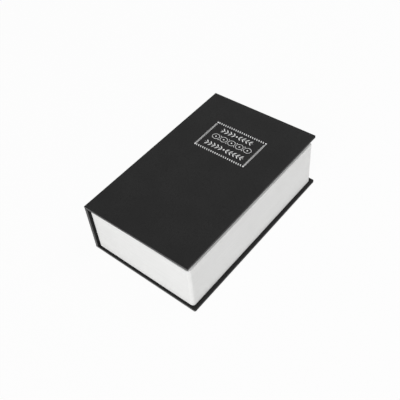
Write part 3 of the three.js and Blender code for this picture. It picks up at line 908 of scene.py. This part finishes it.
def garland(leaf, lozenge, x, y, pairs):
    """A stem with pairs of leaves on both sides of a lozenge."""
    pitch = 3.9 * MM
    start = 1.9 * MM
    stem = 0.22 * MM
    lean = 45
    reach = leaf_length / 2
    along_gap, side_gap = 0.3 * MM, 0.05 * MM
    placed = [placed_copy(lozenge, x, y, 45)]
    bar = flat_bar(pairs * pitch, stem)
    for way in (-1, 1):
        placed.append(placed_copy(bar, x + way * (start + pairs * pitch / 2), y))
        for i in range(pairs):
            for up in (-1, 1):
                out = start + i * pitch + reach * math.cos(math.radians(lean)) + along_gap
                off = stem / 2 + side_gap + reach * math.sin(math.radians(lean))
                placed.append(placed_copy(leaf, x + way * out, y + up * off, way * up * lean))
    bpy.data.objects.remove(bar)
    return placed


leaf = pointed_oval(leaf_length, 0.95 * MM, vertices=30)
lozenge_side = 1.5 * MM
lozenge = flat_bar(lozenge_side, lozenge_side)
shapes += garland(leaf, lozenge, x=-0.3 * MM, y=10.4 * MM, pairs=4)
shapes += garland(leaf, lozenge, x=0, y=-9.6 * MM, pairs=5)

line = 0.36 * MM
eye = hollow(pointed_oval(7.8 * MM, 6.6 * MM, vertices=72), line)
bpy.ops.mesh.primitive_circle_add(vertices=12, radius=0.45 * MM, fill_type="NGON")
bead = bpy.context.object
bead.scale.x = 1.2
pip_side = 1.2 * MM
pip = flat_bar(pip_side, pip_side)
eyes = 5
eye_pitch = 8.8 * MM
bead_height = 2.6 * MM
chain_x, chain_y = 0.7 * MM, 0.9 * MM
for i in range(eyes):
    x = (i - (eyes - 1) / 2) * eye_pitch + chain_x
    shapes += [placed_copy(eye, x, chain_y), placed_copy(pip, x, chain_y, 45)]
    if i < eyes - 1:
        shapes += [placed_copy(bead, x + eye_pitch / 2, chain_y + up * bead_height) for up in (-1, 1)]
for drawn in (stud, leaf, lozenge, eye, bead, pip):
    bpy.data.objects.remove(drawn)
print("ornament shapes:", len(shapes))

# %% [markdown]
# The joined shapes are moved to their place on the flat cover, thickened and tipped with it. The film
# is a few hundredths of a millimetre thick, and the hot die has pressed part of that into the
# leatherette.

# %% Lay the foil on the cover
cartouche_x, cartouche_y = 56.05 * MM, 39.7 * MM
pressed_in = 0.02 * MM
film = 0.06 * MM
foil = join_pieces(shapes)
bpy.ops.object.transform_apply(location=True, rotation=True, scale=True)
foil.location = (cartouche_x, cartouche_y, COVER_THICKNESS - pressed_in)
bpy.ops.object.transform_apply(location=True, rotation=False, scale=False)
pick(foil, "FACE", lambda centre, normal: normal.z < 0)
bpy.ops.mesh.flip_normals()
leave_edit()
add_modifier(foil, "SOLIDIFY", thickness=film, offset=1)
foil.location = crease
foil.rotation_euler.y = -AJAR
finish_piece(foil, "foil_cartouche", "front_cover", silver_foil)

# %% [markdown]
# ## The page block
#
# The moulding's outer wall is cut with a line for every few leaves. The flat wall is taken off a copy
# of the node, and a new one is drawn up from its foot: the bottom edge is extruded upwards row by row,
# scaled in for each groove and out again for each leaf, until it meets the rim. Grooves of a tenth of a
# millimetre are enough to break the light. Their depths differ a little, from a seeded draw, as no real
# block of leaves is even.

# %% Grooved pages
def behind_all(mesh):
    """A test that is true for faces with the whole mesh behind them, which are those of the outer wall."""
    points = [vertex.co.copy() for vertex in mesh.vertices]

    def outermost(centre, normal):
        return abs(normal.z) < 0.1 and all((p - centre).dot(normal) < 0.001 * MM for p in points)

    return outermost


def edge_use(mesh):
    """How many faces use each edge: two everywhere on a closed body."""
    use = {}
    for face in mesh.polygons:
        for key in face.edge_keys:
            use[key] = use.get(key, 0) + 1
    return use


def page_moulding():
    """The node with its outer wall drawn up anew, row by row."""
    piece = merged_copy("page_block")
    middle = (page_low + page_high) / 2
    half = (page_high - page_low) / 2
    pick(piece, "FACE", behind_all(piece.data))
    bpy.ops.mesh.delete(type="FACE")
    leave_edit()
    rim_round = 0.5 * MM
    open_points = {v for key, use in edge_use(piece.data).items() if use == 1 for v in key}
    at = [piece.data.vertices[i].co.copy() for i in open_points]
    bottom_points = {tuple(p) for p in at if p.z < middle.z}
    top_points = {tuple(p) for p in at if p.z > middle.z}

    def scale_to(inset_from, inset_to):
        """Scale the selected loop from one inset to another."""
        factor = [(half[axis] - inset_to) / (half[axis] - inset_from) for axis in (0, 1)]
        bpy.ops.transform.resize(value=(factor[0], factor[1], 1), center_override=middle)

    pick(piece, "VERT", lambda p: tuple(p) in top_points)
    scale_to(0, rim_round)
    pick(piece, "EDGE", lambda a, b: tuple(a) in bottom_points and tuple(b) in bottom_points)
    pitch = 1.0 * MM
    groove_share = 0.3
    depth = 0.12 * MM
    height = 2 * half.z - rim_round
    count = round(height / pitch)
    step = height / count
    draw = random.Random(7)
    inset = 0
    for i in range(count):
        last = i == count - 1
        rise = step if last else step * (1 - groove_share)
        bpy.ops.mesh.extrude_edges_move(TRANSFORM_OT_translate={"value": (0, 0, rise)})
        if last:
            break
        groove = depth * draw.uniform(0.6, 1.3)
        bpy.ops.mesh.extrude_edges_move(TRANSFORM_OT_translate={"value": (0, 0, step * groove_share / 2)})
        scale_to(inset, groove)
        bpy.ops.mesh.extrude_edges_move(TRANSFORM_OT_translate={"value": (0, 0, step * groove_share / 2)})
        scale_to(groove, inset)
    turns = 4
    for i in range(turns):
        angle = [math.pi / 2 * k / turns for k in (i, i + 1)]
        rise = rim_round * (math.sin(angle[1]) - math.sin(angle[0]))
        bpy.ops.mesh.extrude_edges_move(TRANSFORM_OT_translate={"value": (0, 0, rise)})
        scale_to(*(rim_round * (1 - math.cos(a)) for a in angle))
    edit_all(piece)
    bpy.ops.mesh.remove_doubles(threshold=0.01 * MM)
    bpy.ops.mesh.normals_make_consistent(inside=False)
    leave_edit()
    rim = 3 * MM
    top_z = page_high.z - 0.01 * MM

    def round_the_opening(a, b):
        return all(
            p.z > top_z and half.x - abs(p.x - middle.x) > rim and half.y - abs(p.y) > rim
            for p in (a, b)
        )

    opening_round = 0.4 * MM
    pick(piece, "EDGE", round_the_opening)
    bpy.ops.mesh.bevel(offset=opening_round, segments=3, affect="EDGES", clamp_overlap=True)
    leave_edit()
    print("leaf rows:", count, "open edges:", sum(1 for use in edge_use(piece.data).values() if use != 2))
    return piece


pages = page_moulding()
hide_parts("page_block")
finish_piece(pages, "page_moulding", "case", white_pages, smooth_degrees=50)

# %% [markdown]
# ## The steel box
#
# Sheet steel of one millimetre has its cut edges broken before coating, and the powder rounds them
# further, so a radius of a fifth of a millimetre is right for the box, the lid and the knuckles of the
# hinge. Only the knuckles' outer rings and the hole for the lock are made finer, because the pin hides
# the knuckles' bores.

# %% Box, lid, hinge and keeper
hinge_ring = (Vector(joints["lid_hinge"]["pos_m"]), ALONG)
lock_ring = (lock_axis, UP)
knuckle_radius = 2 * MM
lid_hole_radius = 6.2 * MM
knuckle_ring = (*hinge_ring, (knuckle_radius,))
lid_rings = [knuckle_ring, (*lock_ring, (lid_hole_radius,))]
dress("box_body", "steel_box", "case", black_powder, 0.2 * MM, rings=[knuckle_ring])
dress("lid_panel", "steel_lid", "lid", black_powder, 0.2 * MM, rings=lid_rings)
dress("hinge_pin", "hinge_rod", "case", zinc, 0.1 * MM, rings=[hinge_ring])
dress("latch_keeper", "keeper_angle", "case", zinc, 0.2 * MM)
for i in range(1, 5):
    rivet_low, rivet_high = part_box(f"floor_rivet_{i}")
    rivet_ring = ((rivet_low + rivet_high) / 2, UP)
    dress(
        f"floor_rivet_{i}", f"rivet_{i}", "case", zinc, 0.4 * MM, steps=4,
        rings=[rivet_ring],
    )

# %% [markdown]
# ## The cam lock
#
# The housing's barrel carries a fine thread of one millimetre, which the nut runs on. A thread is a
# groove that climbs as it goes round. One wedge is drawn beside the axis, the screw modifier winds it
# up by a pitch a turn, and the coil is cut out of the barrel. The two flats lie deeper than the groove,
# so they stay plain, as on the real barrel.

# %% Threaded housing and its plug
def thread_groove(radius, low_z, high_z, pitch=1.0 * MM, depth=0.5 * MM):
    """A wedge wound round the lock's axis, from outside a thread's crest to its root."""
    stand_off = 0.1 * MM
    mouth, root_share = 0.92 * pitch, 0.15
    bpy.ops.mesh.primitive_plane_add(size=1, rotation=(math.pi / 2, 0, 0))
    wedge = bpy.context.object
    wedge.scale = (depth + stand_off, mouth, 1)
    bpy.ops.object.transform_apply(location=False, rotation=True, scale=True)
    pick(wedge, "VERT", lambda p: p.x < 0)
    bpy.ops.transform.resize(value=(1, 1, root_share))
    bpy.ops.mesh.select_all(action="SELECT")
    bpy.ops.transform.translate(value=(radius + (stand_off - depth) / 2, 0, 0))
    bpy.ops.mesh.delete(type="ONLY_FACE")
    leave_edit()
    add_modifier(
        wedge, "SCREW", axis="Z", steps=48, render_steps=48, screw_offset=pitch,
        iterations=round((high_z - low_z) / pitch),
    )
    edit_all(wedge)
    bpy.ops.mesh.fill_holes(sides=4)
    bpy.ops.mesh.normals_make_consistent(inside=False)
    leave_edit()
    wedge.location = (lock_axis.x, 0, low_z)
    bpy.ops.object.transform_apply(location=True, rotation=False, scale=False)
    return wedge


housing_low, housing_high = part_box("lock_housing")
nut_low, nut_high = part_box("lock_nut")
barrel_radius = 6 * MM
head_radius = housing_high.y
head_chamfer = 0.8 * MM
face_bore_radius = 5.75 * MM
head_rings = (*lock_ring, (head_radius, head_radius - head_chamfer, face_bore_radius))
groove = thread_groove(barrel_radius, housing_low.z, nut_high.z)
barrel = dress(
    "lock_housing", "lock_barrel", "lid", nickel, 0.15 * MM, rings=[head_rings],
    cutters=[groove],
)
print("open edges on the barrel:", sum(1 for use in edge_use(barrel.data).values() if use != 2))
dress("lock_plug", "lock_cylinder", "lock_core", nickel, 0.1 * MM, rings=[lock_ring])

# %% [markdown]
# The nut is cut from hexagon bar and chamfered on both faces, so that only the flats' middles reach
# them. It is what a disc with slanted rims and the hexagon have in common. The disc is a cylinder,
# whose two ends are drawn out and narrowed. The screw that holds the cam has a crossed recess, cut by
# two crossed blades.

# %% Nut, washers, cam and screw
nut_middle = (nut_low + nut_high) / 2
nut_corner = (nut_high.y - nut_low.y) / 2
chamfer = 0.75 * MM
face_share = 0.84
bpy.ops.mesh.primitive_cylinder_add(
    vertices=96, radius=nut_corner - 0.1 * MM, depth=nut_high.z - nut_low.z - 2 * chamfer,
    location=nut_middle,
)
disc = bpy.context.object
bpy.ops.object.transform_apply(location=True, rotation=False, scale=False)
for way in (-1, 1):
    pick(disc, "FACE", lambda centre, normal: normal.z * way > 0.9)
    rise = way * (chamfer + 0.01 * MM)
    bpy.ops.mesh.extrude_region_move(TRANSFORM_OT_translate={"value": (0, 0, rise)})
    bpy.ops.transform.resize(value=(face_share, face_share, 1), center_override=nut_middle)
    leave_edit()
dress(
    "lock_nut", "barrel_nut", "lid", zinc, 0.06 * MM, rings=[lock_ring], cutters=[disc],
    operation="INTERSECT",
)

bolt_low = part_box("cam_screw")[0]
blade_length, blade_breadth, blade_height = 3.6 * MM, 0.9 * MM, 2.2 * MM
blade_tip = 0.45
blades = []
for turn in (45, 135):
    bpy.ops.mesh.primitive_cube_add(
        size=1, location=(lock_axis.x, 0, bolt_low.z), rotation=(0, 0, math.radians(turn)),
    )
    blade = bpy.context.object
    blade.scale = (blade_length, blade_breadth, blade_height)
    bpy.ops.object.transform_apply(location=True, rotation=True, scale=True)
    pick(blade, "FACE", lambda centre, normal: normal.z > 0.9)
    bpy.ops.transform.resize(
        value=(blade_tip, blade_tip, 1), center_override=(lock_axis.x, 0, bolt_low.z),
    )
    leave_edit()
    blades.append(blade)
dress(
    "cam_screw", "cam_bolt", "lock_core", zinc, 0.15 * MM, rings=[lock_ring],
    cutters=blades,
)
dress("lock_washer", "barrel_washer", "lid", zinc, 0.12 * MM, rings=[lock_ring])
dress("stop_washer", "quarter_turn_washer", "lock_core", zinc, 0.1 * MM, rings=[lock_ring])
dress("cam", "latch_cam", "lock_core", zinc, 0.15 * MM, rings=[lock_ring])
dress("cam_washer", "cam_disc", "lock_core", zinc, 0.1 * MM, rings=[lock_ring])
